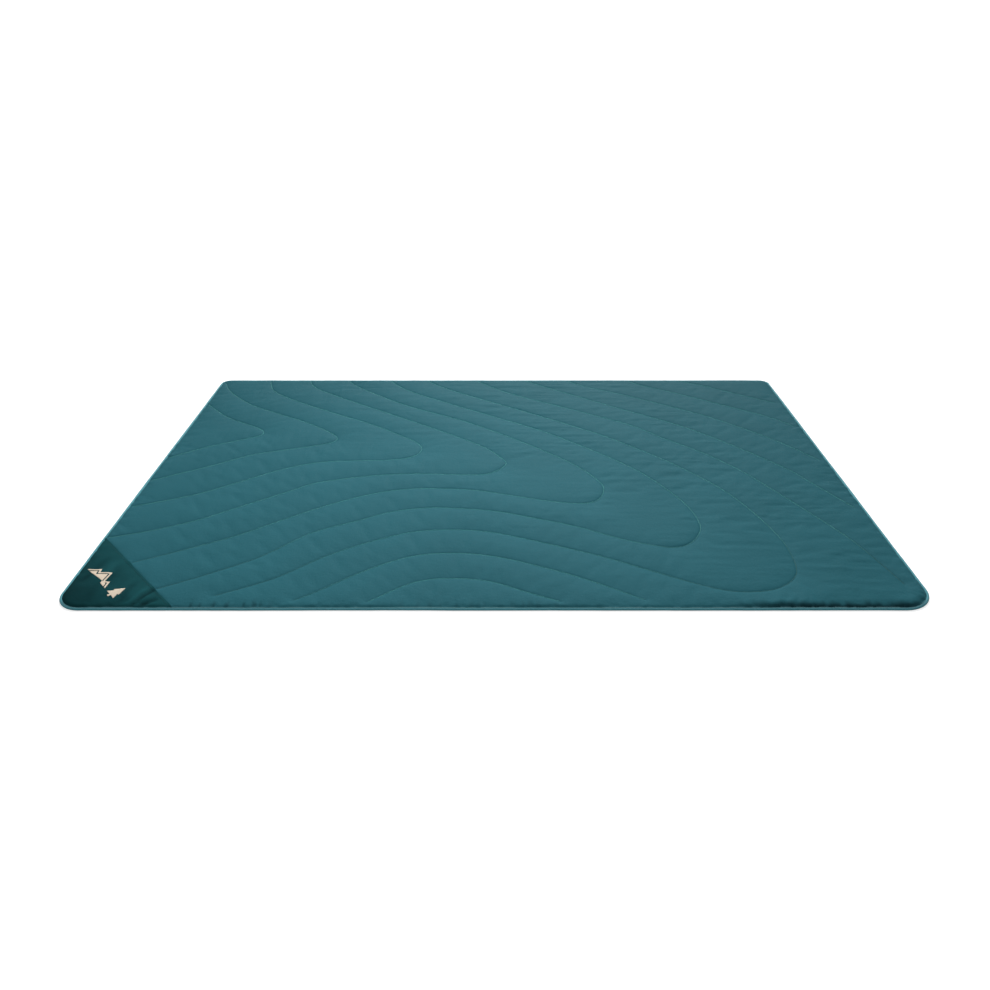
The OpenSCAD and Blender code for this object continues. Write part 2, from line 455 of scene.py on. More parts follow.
def smooth(values, triangles, times, held):
    """Spreads values over the mesh; held points keep theirs."""
    pairs = np.unique(np.sort(edges_of(triangles), axis=1), axis=0)
    count = np.bincount(pairs.ravel(), minlength=len(values)).astype(float)
    kept = values.copy()
    for _ in range(times):
        values = 0.5 * values + 0.5 * neighbour_mean(values, pairs, count)
        values[held] = kept[held]
    return values


def puckers(x, y, seam_away, seam_along):
    """Short ripples square to the quilting, strongest a few millimetres from the thread."""
    near = seam_away / (5 * MM) * np.exp(1 - seam_away / (5 * MM))
    patchy = 0.6 + 0.4 * noise(x / 0.11, y / 0.11, 5)
    wave = noise(seam_along / (8 * MM), seam_away / (60 * MM), 11)
    return 0.28 * MM * near * patchy * wave


def edge_puckers(x, y, edge_along):
    """Ripples and dents square to the bound edge, where the binding gathers the face."""
    inward = np.maximum(edge_distance(x, y) - LAP, 0)
    patchy = 0.45 + 0.45 * noise(edge_along / 0.12, inward / 0.5, 6) + 0.7 * front_right(x, y)
    patchy *= 1 - 0.9 * at_back(y)
    near = inward / (3 * MM) * np.exp(1 - inward / (3 * MM))
    dents = smoothstep(0.0, 0.7, noise(edge_along / (10 * MM), inward / (60 * MM), 12))
    far = inward / (12 * MM) * np.exp(1 - inward / (12 * MM))
    lean = edge_along + 0.8 * inward * noise(edge_along / 0.07, inward / 0.5, 14)
    wave = noise(lean / (12 * MM), inward / (60 * MM), 13)
    return patchy * MM * (1.2 * far * wave - 2.4 * near * dents)


def gathered_shade(x, y, edge_along):
    """Painted shade of the tight gathers along the front edge, from 0 to about 1.

    They run together at the right, and stand apart beside the patch and at the middle."""
    inward = np.maximum(edge_distance(x, y) - LAP, 0)
    tooth = noise(edge_along / (11 * MM), inward / (40 * MM), 15)
    reach = (9 + 5 * tooth) * MM
    corner = smoothstep(HALF_X - 20 * MM, HALF_X - 75 * MM, x)
    right = corner * front_right(x, y) * np.exp(-(inward / reach) ** 2)
    beside_patch = smoothstep(-0.74, -0.66, x) * smoothstep(-0.44, -0.54, x)
    middle = smoothstep(-0.30, -0.20, x) * smoothstep(0.30, 0.05, x)
    fold = smoothstep(0.05, 0.70, noise(edge_along / (6 * MM), inward / (70 * MM), 16))
    at_front = smoothstep(-0.60, -0.63, y) * np.exp(-(inward / (15 * MM)) ** 2)
    return right + (0.65 * beside_patch + 0.25 * middle) * fold * at_front


def storage_wrinkles(x, y, seam_away):
    """Fine parallel wrinkles left by folding: along X at the right, along Y at the left."""
    right = smoothstep(-0.55, 0.45, x + 1.1 * y)
    left = smoothstep(-0.30, -0.50, x) * smoothstep(-0.25, 0.05, y)
    middle = smoothstep(0.25, 0.05, np.abs(x + 0.05)) * smoothstep(0.10, -0.10, y)
    bend = 4 * MM * noise(x / 0.15, y / 0.12, 8)
    along_x = noise(x / 0.07, (y + bend) / (9 * MM), 21) + noise(x / 0.11, y / (17 * MM), 22)
    along_y = noise((x + bend) / (9 * MM), y / 0.09, 23)
    clear = 1 - np.exp(-seam_away / (7 * MM))
    patchy = 0.35 + 0.65 * smoothstep(-0.5, 0.8, noise(x / 0.13, y / 0.10, 9))
    right *= 1 - 0.35 * smoothstep(-0.20, -0.45, y)
    right *= 1 - 0.65 * smoothstep(0.45, 0.75, x) * smoothstep(-0.20, 0.10, y)
    return clear * patchy * MM * (0.90 * right * along_x + 0.5 * (left + middle) * along_y)


# Single creases that stand out: start, end, half width and height, the height below 0 for a
# groove.
CREASES = [
    ((-340, 380), (-205, 385), 3.5, -0.9),
    ((-190, 385), (-125, 400), 3.5, -0.8),
    ((-290, 370), (-250, 320), 3.5, -0.7),
    ((470, 385), (625, 390), 5.0, 0.7),
    ((455, -285), (530, -285), 4.0, 0.9),
    ((505, -260), (530, -270), 3.5, -0.9),
    ((470, -300), (530, -305), 4.0, -0.7),
    ((670, -270), (720, -285), 4.5, 1.0),
    ((670, -280), (705, -300), 4.0, -0.8),
    ((760, -445), (855, -465), 6.0, 0.9),
    ((815, -490), (900, -490), 5.0, -1.3),
    ((705, -505), (880, -520), 6.0, 0.8),
    ((485, -410), (690, -415), 9.0, -0.8),
    ((40, -325), (120, -325), 4.0, 0.7),
    ((-640, 285), (-645, 135), 4.0, -0.6),
    ((-565, 270), (-560, 215), 4.0, -0.7),
    ((-785, -655), (-750, -585), 4.5, -2.0),
    ((-800, -655), (-765, -580), 5.0, 1.2),
    ((-765, -650), (-730, -630), 7.0, -2.2),
    ((-750, -655), (-730, -640), 5.0, 1.0),
    ((-925, -560), (-900, -470), 8.0, -0.8),
    ((-870, -580), (-860, -500), 9.0, -0.6),
    ((-885, -570), (-875, -490), 8.0, 0.5),
    ((-815, -645), (-800, -565), 8.0, -1.0),
]


def single_creases(x, y):
    """Height of the creases that are placed one by one."""
    total = np.zeros_like(x)
    wander = 3 * MM * noise(x / 0.03, y / 0.03, 31)
    for start, end, half_width, height in CREASES:
        a = np.array(start) * MM
        run = np.array(end) * MM - a
        length = np.linalg.norm(run)
        run /= length
        along = (x - a[0]) * run[0] + (y - a[1]) * run[1]
        across = (x - a[0]) * -run[1] + (y - a[1]) * run[0] + wander
        ends = smoothstep(-0.15, 0.25, along / length) * smoothstep(1.15, 0.75, along / length)
        total += height * MM * ends * np.exp(-(across / (half_width * MM)) ** 2)
    return total


# -------- mesh helpers
def closed_sheet(points, triangles, depth):
    """Closed shell: the sheet, its copy lower by depth, and walls round its rim."""
    return close_between(points, points - np.array([0, 0, depth]), triangles)


def close_between(top, bottom, triangles):
    """Closed solid between two layers that have the same points seen from above."""
    n = len(top)
    edges = edges_of(triangles)
    keys = np.sort(edges, axis=1)
    _, index, count = np.unique(keys, axis=0, return_index=True, return_counts=True)
    rim = edges[index[count == 1]]
    a, b = rim[:, 0], rim[:, 1]
    walls = np.concatenate([np.stack([b, a, a + n], 1), np.stack([b, a + n, b + n], 1)])
    faces = np.concatenate([triangles, triangles[:, ::-1] + n, walls])
    return np.concatenate([top, bottom]), faces


def drop_unused(points, triangles):
    """Only the points that the triangles use, the triangles, and the old numbers of the points."""
    used = np.unique(triangles)
    index = np.full(len(points), -1)
    index[used] = np.arange(len(used))
    return points[used], index[triangles], used


def swept(points, inward, profile):
    """Grid of points that carries a profile of (inward, height) along a path on the ground."""
    rings = points[:, None, :] + inward[:, None, :] * profile[:, :, :1]
    return np.concatenate([rings, profile[:, :, 1:]], axis=2)


def grid_faces(rows, columns):
    """Quads of a grid that closes on itself both ways, split into triangles."""
    r, c = np.meshgrid(np.arange(rows), np.arange(columns), indexing="ij")
    a = r * columns + c
    b = r * columns + (c + 1) % columns
    d = ((r + 1) % rows) * columns + c
    e = ((r + 1) % rows) * columns + (c + 1) % columns
    quads = np.stack([a, b, e, d], -1).reshape(-1, 4)
    return np.concatenate([quads[:, [0, 1, 2]], quads[:, [0, 2, 3]]])


def stitches(route, up, pitch, radius):
    """Row of single stitches along a route in space; up is the side they lie on (1 or -1).

    A stitch has four rings of points, with their places in fine steps, and their heights and
    widths in radii. Its ends dip into the cloth and are thinner."""
    length = np.linalg.norm(np.diff(route, axis=0), axis=1).sum()
    count = int(length / pitch)
    steps = 6
    fine = even(route, pitch / steps)
    sides = 5
    places = np.array([0.5, 1.75, 4.25, 5.5])
    lift = np.array([-0.9, 0.6, 0.6, -0.9])
    width = np.array([0.6, 1.0, 1.0, 0.6])
    at = np.arange(count)[:, None] * steps + places
    at = np.clip(at, 0, len(fine) - 1.001)
    low = at.astype(int)
    part = (at - low)[..., None]
    centre = fine[low] * (1 - part) + fine[low + 1] * part
    run = fine[np.minimum(low + 1, len(fine) - 1)] - fine[np.maximum(low - 1, 0)]
    run[..., 2] = 0
    run /= np.linalg.norm(run, axis=2)[..., None]
    side = np.stack([-run[..., 1], run[..., 0], np.zeros(run.shape[:2])], -1)
    centre[..., 2] += up * radius * lift
    angle = np.arange(sides) * 2 * math.pi / sides
    ring = centre[:, :, None, :] + radius * width[:, None, None] * (
        side[:, :, None, :] * np.cos(angle)[:, None]
        + np.array([0, 0, 1.0]) * np.sin(angle)[:, None])
    points = np.concatenate([ring.reshape(count, -1, 3), centre[:, :1], centre[:, -1:]], axis=1)
    each = points.shape[1]
    faces = []
    for k in range(len(places) - 1):
        for m in range(sides):
            a, b = k * sides + m, k * sides + (m + 1) % sides
            faces += [(a, b, b + sides), (a, b + sides, a + sides)]
    for m in range(sides):
        n = (m + 1) % sides
        last = (len(places) - 1) * sides
        faces += [(each - 2, n, m), (each - 1, last + m, last + n)]
    faces = np.array(faces)[None] + (np.arange(count) * each)[:, None, None]
    return points.reshape(-1, 3), faces.reshape(-1, 3)


def joined(parts):
    """Several (points, triangles) as one."""
    first = np.cumsum([0] + [len(points) for points, _ in parts])
    return (np.concatenate([points for points, _ in parts]),
            np.concatenate([faces + start for (_, faces), start in zip(parts, first)]))


# -------- materials
def make_material(name, colour, build, roughness=0.6, sheen=0.006, specular=0.010):
    """Material whose colour and bump come from build(tree, colour)."""
    material = bpy.data.materials.new(name)
    material.use_nodes = True
    tree = material.node_tree
    tree.nodes.clear()
    out = tree.nodes.new("ShaderNodeOutputMaterial")
    shader = tree.nodes.new("ShaderNodeBsdfPrincipled")
    tree.links.new(shader.outputs["BSDF"], out.inputs["Surface"])
    shader.inputs["Roughness"].default_value = roughness
    shader.inputs["Sheen Weight"].default_value = sheen
    shader.inputs["Sheen Roughness"].default_value = 0.45
    shader.inputs["Specular IOR Level"].default_value = specular
    shade, bump, rough = build(tree, colour)
    tree.links.new(shade, shader.inputs["Base Color"])
    if bump is not None:
        tree.links.new(bump, shader.inputs["Normal"])
    if rough is not None:
        tree.links.new(rough, shader.inputs["Roughness"])
    return material


def place(tree, scale=(1, 1, 1), turn=0.0, use_uv=False):
    """Object or UV coordinates, scaled and turned about Z."""
    source = tree.nodes.new("ShaderNodeTexCoord")
    mapping = tree.nodes.new("ShaderNodeMapping")
    mapping.inputs["Scale"].default_value = scale
    mapping.inputs["Rotation"].default_value = (0, 0, turn)
    tree.links.new(source.outputs["UV" if use_uv else "Object"], mapping.inputs["Vector"])
    return mapping.outputs["Vector"]


def noise_at(tree, vector, scale, detail=3.0, rough=0.55):
    """Noise texture's value."""
    texture = tree.nodes.new("ShaderNodeTexNoise")
    texture.inputs["Scale"].default_value = scale
    texture.inputs["Detail"].default_value = detail
    texture.inputs["Roughness"].default_value = rough
    tree.links.new(vector, texture.inputs["Vector"])
    return texture.outputs["Fac"]


def threads(tree, vector, period, axis):
    """Even ridges that repeat every period metres across an axis."""
    texture = tree.nodes.new("ShaderNodeTexWave")
    texture.wave_type = "BANDS"
    texture.bands_direction = axis
    texture.inputs["Scale"].default_value = 2 * math.pi / (20 * period)
    texture.inputs["Distortion"].default_value = 0.6
    texture.inputs["Detail"].default_value = 1.0
    texture.inputs["Detail Scale"].default_value = 0.3
    tree.links.new(vector, texture.inputs["Vector"])
    return texture.outputs["Fac"]


def maths(tree, kind, a, b):
    """One arithmetic step on sockets or numbers."""
    step = tree.nodes.new("ShaderNodeMath")
    step.operation = kind
    for socket, value in zip(step.inputs, (a, b)):
        if isinstance(value, (int, float)):
            socket.default_value = value
        else:
            tree.links.new(value, socket)
    return step.outputs[0]


def remap(tree, value, low, high):
    """Value from 0..1 stretched to low..high."""
    step = tree.nodes.new("ShaderNodeMapRange")
    step.inputs["To Min"].default_value = low
    step.inputs["To Max"].default_value = high
    tree.links.new(value, step.inputs["Value"])
    return step.outputs["Result"]


def shading_factor(tree):
    """The piece's own number per point, which paints shade and light into the colour."""
    painted_shading_and_tone = tree.nodes.new("ShaderNodeAttribute")
    painted_shading_and_tone.attribute_name = "painted_shading_and_tone"
    return painted_shading_and_tone.outputs["Fac"]


def tinted(tree, colour, factor):
    """Colour made lighter or darker by a factor socket."""
    step = tree.nodes.new("ShaderNodeVectorMath")
    step.operation = "SCALE"
    step.inputs[0].default_value = colour
    tree.links.new(factor, step.inputs["Scale"])
    return step.outputs["Vector"]


def bumped(tree, height, distance, strength=1.0, after=None):
    """Bump from a height socket, on top of another bump."""
    step = tree.nodes.new("ShaderNodeBump")
    step.inputs["Distance"].default_value = distance
    step.inputs["Strength"].default_value = strength
    tree.links.new(height, step.inputs["Height"])
    if after is not None:
        tree.links.new(after, step.inputs["Normal"])
    return step.outputs["Normal"]


def woven(period, crinkle, vary=0.08, turn=0.0):
    """Builder for plain woven cloth: fine threads, soft crinkles, uneven dye, and the painted
    shade from the piece's number per point.
    """
    def build(tree, colour):
        vector = place(tree, turn=turn)
        warp = threads(tree, vector, period, "X")
        weft = threads(tree, vector, period * 1.1, "Y")
        cloth = maths(tree, "MAXIMUM", warp, weft)
        coarse = noise_at(tree, vector, 110, 5.0, 0.62)
        fine = noise_at(tree, vector, 420, 3.0, 0.6)
        normal = bumped(tree, coarse, crinkle, 0.8)
        normal = bumped(tree, fine, crinkle * 0.25, 0.7, normal)
        normal = bumped(tree, cloth, 0.06 * MM, 0.5, normal)
        broad = noise_at(tree, vector, 5, 2.0)
        grain = noise_at(tree, vector, 900, 2.0, 0.7)
        factor = remap(tree, broad, 1 - vary, 1 + vary)
        factor = maths(tree, "MULTIPLY", factor, remap(tree, grain, 0.86, 1.14))
        factor = maths(tree, "MULTIPLY", factor, remap(tree, cloth, 0.93, 1.04))
        factor = maths(tree, "MULTIPLY", factor, shading_factor(tree))
        rough = remap(tree, coarse, 0.48, 0.66)
        return tinted(tree, colour, factor), normal, rough
    return build


def ribbed_tape(tree, colour):
    """Builder for the binding: cross ribs, a woven edge, slight fading, and the painted light and
    shade from the piece's number per point.
    """
    vector = place(tree, use_uv=True)
    ribs = threads(tree, vector, 1.3 * MM, "X")
    rows = threads(tree, vector, 0.8 * MM, "Y")
    cloth = maths(tree, "MAXIMUM", ribs, rows)
    soft = noise_at(tree, vector, 160, 4.0)
    normal = bumped(tree, soft, 0.35 * MM, 0.8)
    normal = bumped(tree, cloth, 0.10 * MM, 0.6, normal)
    factor = maths(tree, "MULTIPLY", remap(tree, soft, 0.90, 1.10),
                   remap(tree, cloth, 0.86, 1.05))
    factor = maths(tree, "MULTIPLY", factor, shading_factor(tree))
    return tinted(tree, colour, factor), normal, remap(tree, soft, 0.5, 0.7)


def twisted_thread(tree, colour):
    """Builder for sewing thread: a tight diagonal twist."""
    vector = place(tree, turn=math.radians(35))
    twist = threads(tree, vector, 0.5 * MM, "X")
    fuzz = noise_at(tree, vector, 1500, 2.0)
    normal = bumped(tree, twist, 0.05 * MM, 0.6)
    factor = maths(tree, "MULTIPLY", remap(tree, twist, 0.85, 1.1),
                   remap(tree, fuzz, 0.9, 1.1))
    factor = maths(tree, "MULTIPLY", factor, shading_factor(tree))
    return tinted(tree, colour, factor), normal, None


def satin_stitch(tree, colour):
    """Builder for the mark: close parallel stitches."""
    vector = place(tree, turn=math.radians(50))
    rows = threads(tree, vector, 0.7 * MM, "X")
    soft = noise_at(tree, vector, 300, 3.0)
    normal = bumped(tree, rows, 0.10 * MM, 0.7)
    factor = maths(tree, "MULTIPLY", remap(tree, rows, 0.90, 1.03),
                   remap(tree, soft, 0.93, 1.06))
    return tinted(tree, colour, factor), normal, None


def fibres(tree, colour):
    """Builder for the batting: matted fibres."""
    vector = place(tree)
    strands = noise_at(tree, place(tree, (1, 6, 1), 0.6), 260, 8.0, 0.7)
    clumps = noise_at(tree, vector, 40, 4.0)
    normal = bumped(tree, strands, 0.8 * MM, 0.9)
    factor = maths(tree, "MULTIPLY", remap(tree, strands, 0.8, 1.1),
                   remap(tree, clumps, 0.92, 1.05))
    return tinted(tree, colour, factor), normal, None


def give(piece, material, slot, *nodes):
    """Finishes a piece: its material and the CAD nodes it stands for. Its slot is not used."""
    piece.data.materials.clear()
    piece.data.materials.append(material)
    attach(piece, "root")
    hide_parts(*nodes)
    return piece


FACE_COLOUR = (0.0230, 0.1185, 0.1475)
BACK_COLOUR = (0.0190, 0.1010, 0.1250)
PATCH_COLOUR = (0.0080, 0.0540, 0.0610)
BINDING_COLOUR = (0.072, 0.262, 0.310)
THREAD_COLOUR = (0.110, 0.420, 0.380)
PATCH_THREAD_COLOUR = (0.016, 0.080, 0.090)
MARK_COLOUR = (0.80, 0.68, 0.54)

FACE_CLOTH = make_material("face_cloth", FACE_COLOUR, woven(0.9 * MM, 0.9 * MM))
BACK_CLOTH = make_material("back_cloth", BACK_COLOUR, woven(0.9 * MM, 0.8 * MM))
PATCH_CLOTH = make_material("patch_cloth", PATCH_COLOUR,
                            woven(1.2 * MM, 0.7 * MM, 0.12, math.radians(45)), sheen=0.0,
                            specular=0.005)
TAPE = make_material("binding_tape", BINDING_COLOUR, ribbed_tape, sheen=0.18, specular=0.03)
THREAD = make_material("sewing_thread", THREAD_COLOUR, twisted_thread, 0.5, 0.05, 0.1)
PATCH_THREAD = make_material("patch_thread", PATCH_THREAD_COLOUR, twisted_thread, 0.5, 0.02, 0.05)
MARK = make_material("mark_print", MARK_COLOUR, satin_stitch, 0.6, 0.02)
BATTING = make_material("batting_fibre", (0.85, 0.85, 0.82), fibres, 0.9, 0.0)
LABEL = make_material("label_satin", (0.60, 0.59, 0.56), satin_stitch, 0.45, 0.05, 0.2)


# -------- the face and the patch
def attribute(piece, name, values):
    """Stores one number per point for the material."""
    layer = piece.data.attributes.new(name, "FLOAT", "POINT")
    layer.data.foreach_set("value", np.asarray(values, dtype=np.float32))


FACE_INSET = 4 * MM
flat, triangles, kind = cloth_plan(GRID, FACE_INSET, EDGE_ROWS)
held = kind != "free"
x, y = flat[:, 0], flat[:, 1]
seam_away, seam_along = nearest(list(SEAMS.values()), flat)
edge_loop = outline(0, 1.5 * MM)
_, edge_along = nearest([np.concatenate([edge_loop, edge_loop[:1]])], flat)
height = quilt_height(x, y, seam_away)
height[kind == "seam"] = SEAM_Z
height[kind == "outline"] = EDGE_Z
height[kind == "diagonal"] = PATCH_SEAM_Z
sewn = held | (edge_distance(x, y) < LAP)
swollen = simulate(flat, triangles, height, sewn, CLOTH_GROWTH, CLOTH_FRAMES)
relaxed = smooth(swollen[:, 2], triangles, 3, sewn)
broad = smooth(relaxed, triangles, 60, sewn)
wrinkled = relaxed - broad
extra = (puckers(x, y, seam_away, seam_along) + edge_puckers(x, y, edge_along)
         + storage_wrinkles(x, y, seam_away))
top = height + np.where(sewn, 0, WRINKLE_SHARE * wrinkled + extra)
top += single_creases(x, y) * smoothstep(LAP, LAP + 8 * MM, edge_distance(x, y)) * (
    1 - np.exp(-seam_away / (4 * MM)))
top = np.minimum(top, TOP_Z)
# Painted shade: darker within a few millimetres of each quilting seam, and darker in the gathers
# along the front edge.
painted_shading_and_tone = 1 - 0.08 * np.exp(-seam_away / (1.5 * MM))
painted_shading_and_tone -= 0.72 * gathered_shade(x, y, edge_along)
surface = np.column_stack([flat, top])

centre = flat[triangles].mean(axis=1)
on_patch = patch_distance(centre[:, 0], centre[:, 1]) < 0
face_points, face_triangles, face_used = drop_unused(surface, triangles[~on_patch])
face = mesh_object("face_shell", face_points, face_triangles)
attribute(face, "painted_shading_and_tone", painted_shading_and_tone[face_used])
give(face, FACE_CLOTH, "face", "face_fabric")

panel_points, panel_triangles, panel_used = drop_unused(surface, triangles[on_patch])
turned = kind[panel_used] == "diagonal"
ripple = noise(panel_points[turned, 0] / (18 * MM), panel_points[turned, 1] * 0, 73)
panel_points[turned, :2] += PATCH_OUT * MM * (1.6 + 1.2 * ripple)[:, None]
panel_points[turned, 2] += 0.4 * MM
panel = mesh_object("corner_panel", panel_points, panel_triangles)
from_diagonal = -patch_distance(panel_points[:, 0], panel_points[:, 1])
# Painted shade and highlight on the panel: lighter by the diagonal and darker towards the outer
# corner, darker in the creases' grooves and lighter on their ridges. The two noises are uneven
# tone.
panel_shading_and_mottle = 1.20 - 0.50 * smoothstep(10 * MM, 150 * MM, from_diagonal)
panel_shading_and_mottle += 0.30 / MM * single_creases(panel_points[:, 0], panel_points[:, 1])
panel_shading_and_mottle += 0.10 * noise(panel_points[:, 0] / 0.05, panel_points[:, 1] / 0.05, 71)
panel_shading_and_mottle += 0.10 * noise(panel_points[:, 0] / 0.018, panel_points[:, 1] / 0.018, 72)
attribute(panel, "painted_shading_and_tone", np.maximum(panel_shading_and_mottle, 0.3))
give(panel, PATCH_CLOTH, "patch", "corner_patch")

panel_tree = BVHTree.FromPolygons([Vector(p) for p in panel_points],
                                  [tuple(int(k) for k in t) for t in panel_triangles])

# -------- the back
BACK_SEAM_Z = 2.0 * MM
label_low, label_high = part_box("care_label")
under = BACK_SEAM_Z * np.exp(-seam_away / (5 * MM))
under += 0.25 * MM * (1 + noise(x / 0.02, y / 0.02, 41)) * np.exp(-seam_away / (20 * MM)) * (
    1 - np.exp(-seam_away / (3 * MM)))
under = np.maximum(under, 0.6 * MM * smoothstep(LAP + 4 * MM, LAP, edge_distance(x, y)))
gap = np.maximum(np.maximum(label_low.x - x, x - label_high.x),
                 np.maximum(label_low.y - y, y - label_high.y))
under = np.maximum(under, 0.35 * MM * smoothstep(8 * MM, 1 * MM, gap))
under[kind == "seam"] = BACK_SEAM_Z
back = mesh_object("back_shell", np.column_stack([flat, under]), triangles[:, ::-1])
# The back gets the same painted shade of the seams and of the front gathers.
attribute(back, "painted_shading_and_tone", painted_shading_and_tone)
give(back, BACK_CLOTH, "back", "back_fabric")

# -------- the batting between them
face_tree = tree_of(flat)
core_flat, core_triangles, _ = cloth_plan(2.1 * GRID, FACE_INSET + 1 * MM)
around = [[f[1] for f in face_tree.find_n((p[0], p[1], 0), 12)] for p in core_flat]
core_top = np.array([top[k].min() for k in around]) - 1.0 * MM
core_low = np.array([under[k].max() for k in around]) + 0.4 * MM
core_top = np.maximum(core_top, core_low + 0.4 * MM)
core_points, core_faces = close_between(np.column_stack([core_flat, core_top]),
                                        np.column_stack([core_flat, core_low]), core_triangles)
batting = mesh_object("batting", core_points, core_faces)
give(batting, BATTING, "fill", "insulation")

# -------- the binding
BINDING_PROFILE = np.array([
    (7.6, 0.10), (6.9, 0.05), (6.3, 0.20), (5.6, 0.05), (4.0, 0.0), (2.4, 0.10), (1.2, 0.45),
    (0.45, 1.1), (0.05, 2.1), (0.0, 3.0), (0.25, 3.9), (0.9, 4.7), (2.0, 5.2), (3.3, 5.45),
    (4.6, 5.35), (5.7, 5.05), (6.3, 4.85), (6.9, 5.0), (7.6, 5.1), (7.65, 4.75), (6.9, 4.6),
    (5.7, 4.65), (4.6, 4.9), (3.3, 5.0), (2.2, 4.75), (1.3, 4.3), (0.7, 3.7), (0.5, 2.9),
    (0.55, 2.1), (0.9, 1.5), (1.6, 0.9), (2.6, 0.60), (4.0, 0.50), (5.7, 0.50), (6.9, 0.50),
    (7.65, 0.50)]) * MM
TAPE_STEP = 3.6 * MM
stations = outline(0, TAPE_STEP)
inward = normals_2d(stations, closed=True)
way = np.arange(len(stations)) * TAPE_STEP
profile = np.repeat(BINDING_PROFILE[None], len(stations), axis=0)
upper = smoothstep(1.0 * MM, 5.0 * MM, profile[:, :, 1])
swell = 0.25 * MM * noise(way / 0.055, way * 0, 51) + 0.12 * MM * noise(way / 0.008, way * 0, 52)
profile[:, :, 1] += upper * swell[:, None]
sway = 0.5 * MM * noise(way / 0.16, way * 0, 53) + 0.2 * MM * noise(way / 0.03, way * 0, 54)
profile[:, :, 0] += sway[:, None]
tape_points = swept(stations, inward, profile)
rows, columns = tape_points.shape[:2]
tape = mesh_object("binding_tape", tape_points.reshape(-1, 3), grid_faces(rows, columns)[:, ::-1])


def lay_uv(piece, rows, columns, length, girth):
    """UVs in metres: along the tape, and round its section."""
    layer = piece.data.uv_layers.new(name="tape")
    index = np.empty(len(piece.data.loops), dtype=np.int32)
    piece.data.loops.foreach_get("vertex_index", index)
    u = (index // columns) * length / rows
    v = (index % columns) * girth / columns
    u = u.reshape(-1, 3)
    v = v.reshape(-1, 3)
    u = np.where(u.max(1)[:, None] - u > length / 2, u + length, u)
    v = np.where(v.max(1)[:, None] - v > girth / 2, v + girth, v)
    layer.data.foreach_set("uv", np.stack([u.ravel(), v.ravel()], 1).astype(np.float32).ravel())


lay_uv(tape, rows, columns, rows * TAPE_STEP, 2 * TAPE_WIDTH)

# Painted light and shade on the tape: its outer fold is painted lighter along the front edge, and
# its stitched strip painted darker there and lighter elsewhere.
at_front = smoothstep(-HALF_Y + 40 * MM, -HALF_Y + 12 * MM, stations[:, 1])[:, None]
profile_in, profile_up = BINDING_PROFILE.T
stitched = smoothstep(1.8 * MM, 4.4 * MM, profile_in) * (profile_up > 3 * MM)
lit_fold = smoothstep(1.6 * MM, 0.4 * MM, profile_in)
tape_shading = 1 + 0.42 * at_front * lit_fold + (0.30 - 0.82 * at_front) * stitched
attribute(tape, "painted_shading_and_tone", tape_shading.ravel())
give(tape, TAPE, "binding", "edge_binding")

# -------- stitching
STITCH = 4.0 * MM            # length of one stitch with the gap after it
THREAD_R = 0.24 * MM         # radius of the thread
QUILTING_R = 0.44 * MM       # and of the bolder quilting rows on the face
BINDING_GROOVE = (6.3 * MM, 4.85 * MM)      # inset and height of the groove sewn in the binding
groove = stations + inward * (BINDING_GROOVE[0] + sway)[:, None]
ring = np.column_stack([groove, BINDING_GROOVE[1] + swell + THREAD_R / 2])
ring = np.concatenate([ring, ring[:1]])
below = np.column_stack([groove, np.full(len(groove), 0.10 * MM)])
binding_rows = joined([stitches(ring, 1, STITCH, THREAD_R),
                       stitches(below, -1, STITCH, 0.10 * MM)])


def thread_piece(name, row, material, node, shade=1.30):
    """Finished row of stitches, with painted shade that makes the thread darker near the two front
    corners.
    """
    piece = mesh_object(name, *row)
    spots = points_of(piece)
    shaded_corners = smoothstep(-0.30, -0.50, spots[:, 1]) * smoothstep(0.15, 0.55, np.abs(spots[:, 0]))
    attribute(piece, "painted_shading_and_tone", shade * (1 - 0.66 * shaded_corners))
    give(piece, material, "thread", node)


thread_piece("binding_stitches", binding_rows, THREAD, "binding_thread", 0.75)

diagonal = even(np.array([PATCH_A, PATCH_B]), 2 * MM) - PATCH_OUT * 4 * MM
diagonal = diagonal[edge_distance(diagonal[:, 0], diagonal[:, 1]) > LAP + 2 * MM]


def on_panel(p):
    """Height of the corner panel's surface at a point."""
    hit = panel_tree.ray_cast(Vector((p[0], p[1], 0.1)), Vector((0, 0, -1)))[0]
    return hit.z if hit is not None else PATCH_SEAM_Z


patch_row = np.array([(p[0], p[1], on_panel(p) + 0.12 * MM) for p in diagonal])
thread_piece("patch_stitches", stitches(patch_row, 1, STITCH, 0.25 * MM), PATCH_THREAD,
             "corner_patch_thread")

for name, route in SEAMS.items():
    line = even(route, 2 * MM)
    upper_row = np.column_stack([line, np.full(len(line), SEAM_Z + 0.25 * MM)])
    lower_row = np.column_stack([line, np.full(len(line), BACK_SEAM_Z - 0.15 * MM)])
    rows_of = joined([stitches(upper_row, 1, STITCH, QUILTING_R),
                      stitches(lower_row, -1, STITCH, THREAD_R)])
    thread_piece(name.replace("quilt_seam", "quilting"), rows_of, THREAD, name)


# -------- the mark on the patch
def filled(loops, spacing):
    """Triangles that fill closed loops, with inner points at a spacing."""
    points = []
    edges = []
    for loop in loops:
        ring_points = even(np.concatenate([loop, loop[:1]]), spacing)[:-1]
        first = len(points)
        points.extend(ring_points)
        n = len(ring_points)
        edges += [(first + k, first + (k + 1) % n) for k in range(n)]
    low, high = np.min(points, axis=0), np.max(points, axis=0)
    for gx in np.arange(low[0], high[0], spacing):
        for gy in np.arange(low[1], high[1], spacing):
            points.append(np.array([gx, gy]))
    made = delaunay_2d_cdt([Vector(p / MM) for p in points], edges, [], 1, 1e-3)
    flat_points = np.array([v[:] for v in made[0]]) * MM
    return flat_points, np.array(made[2])


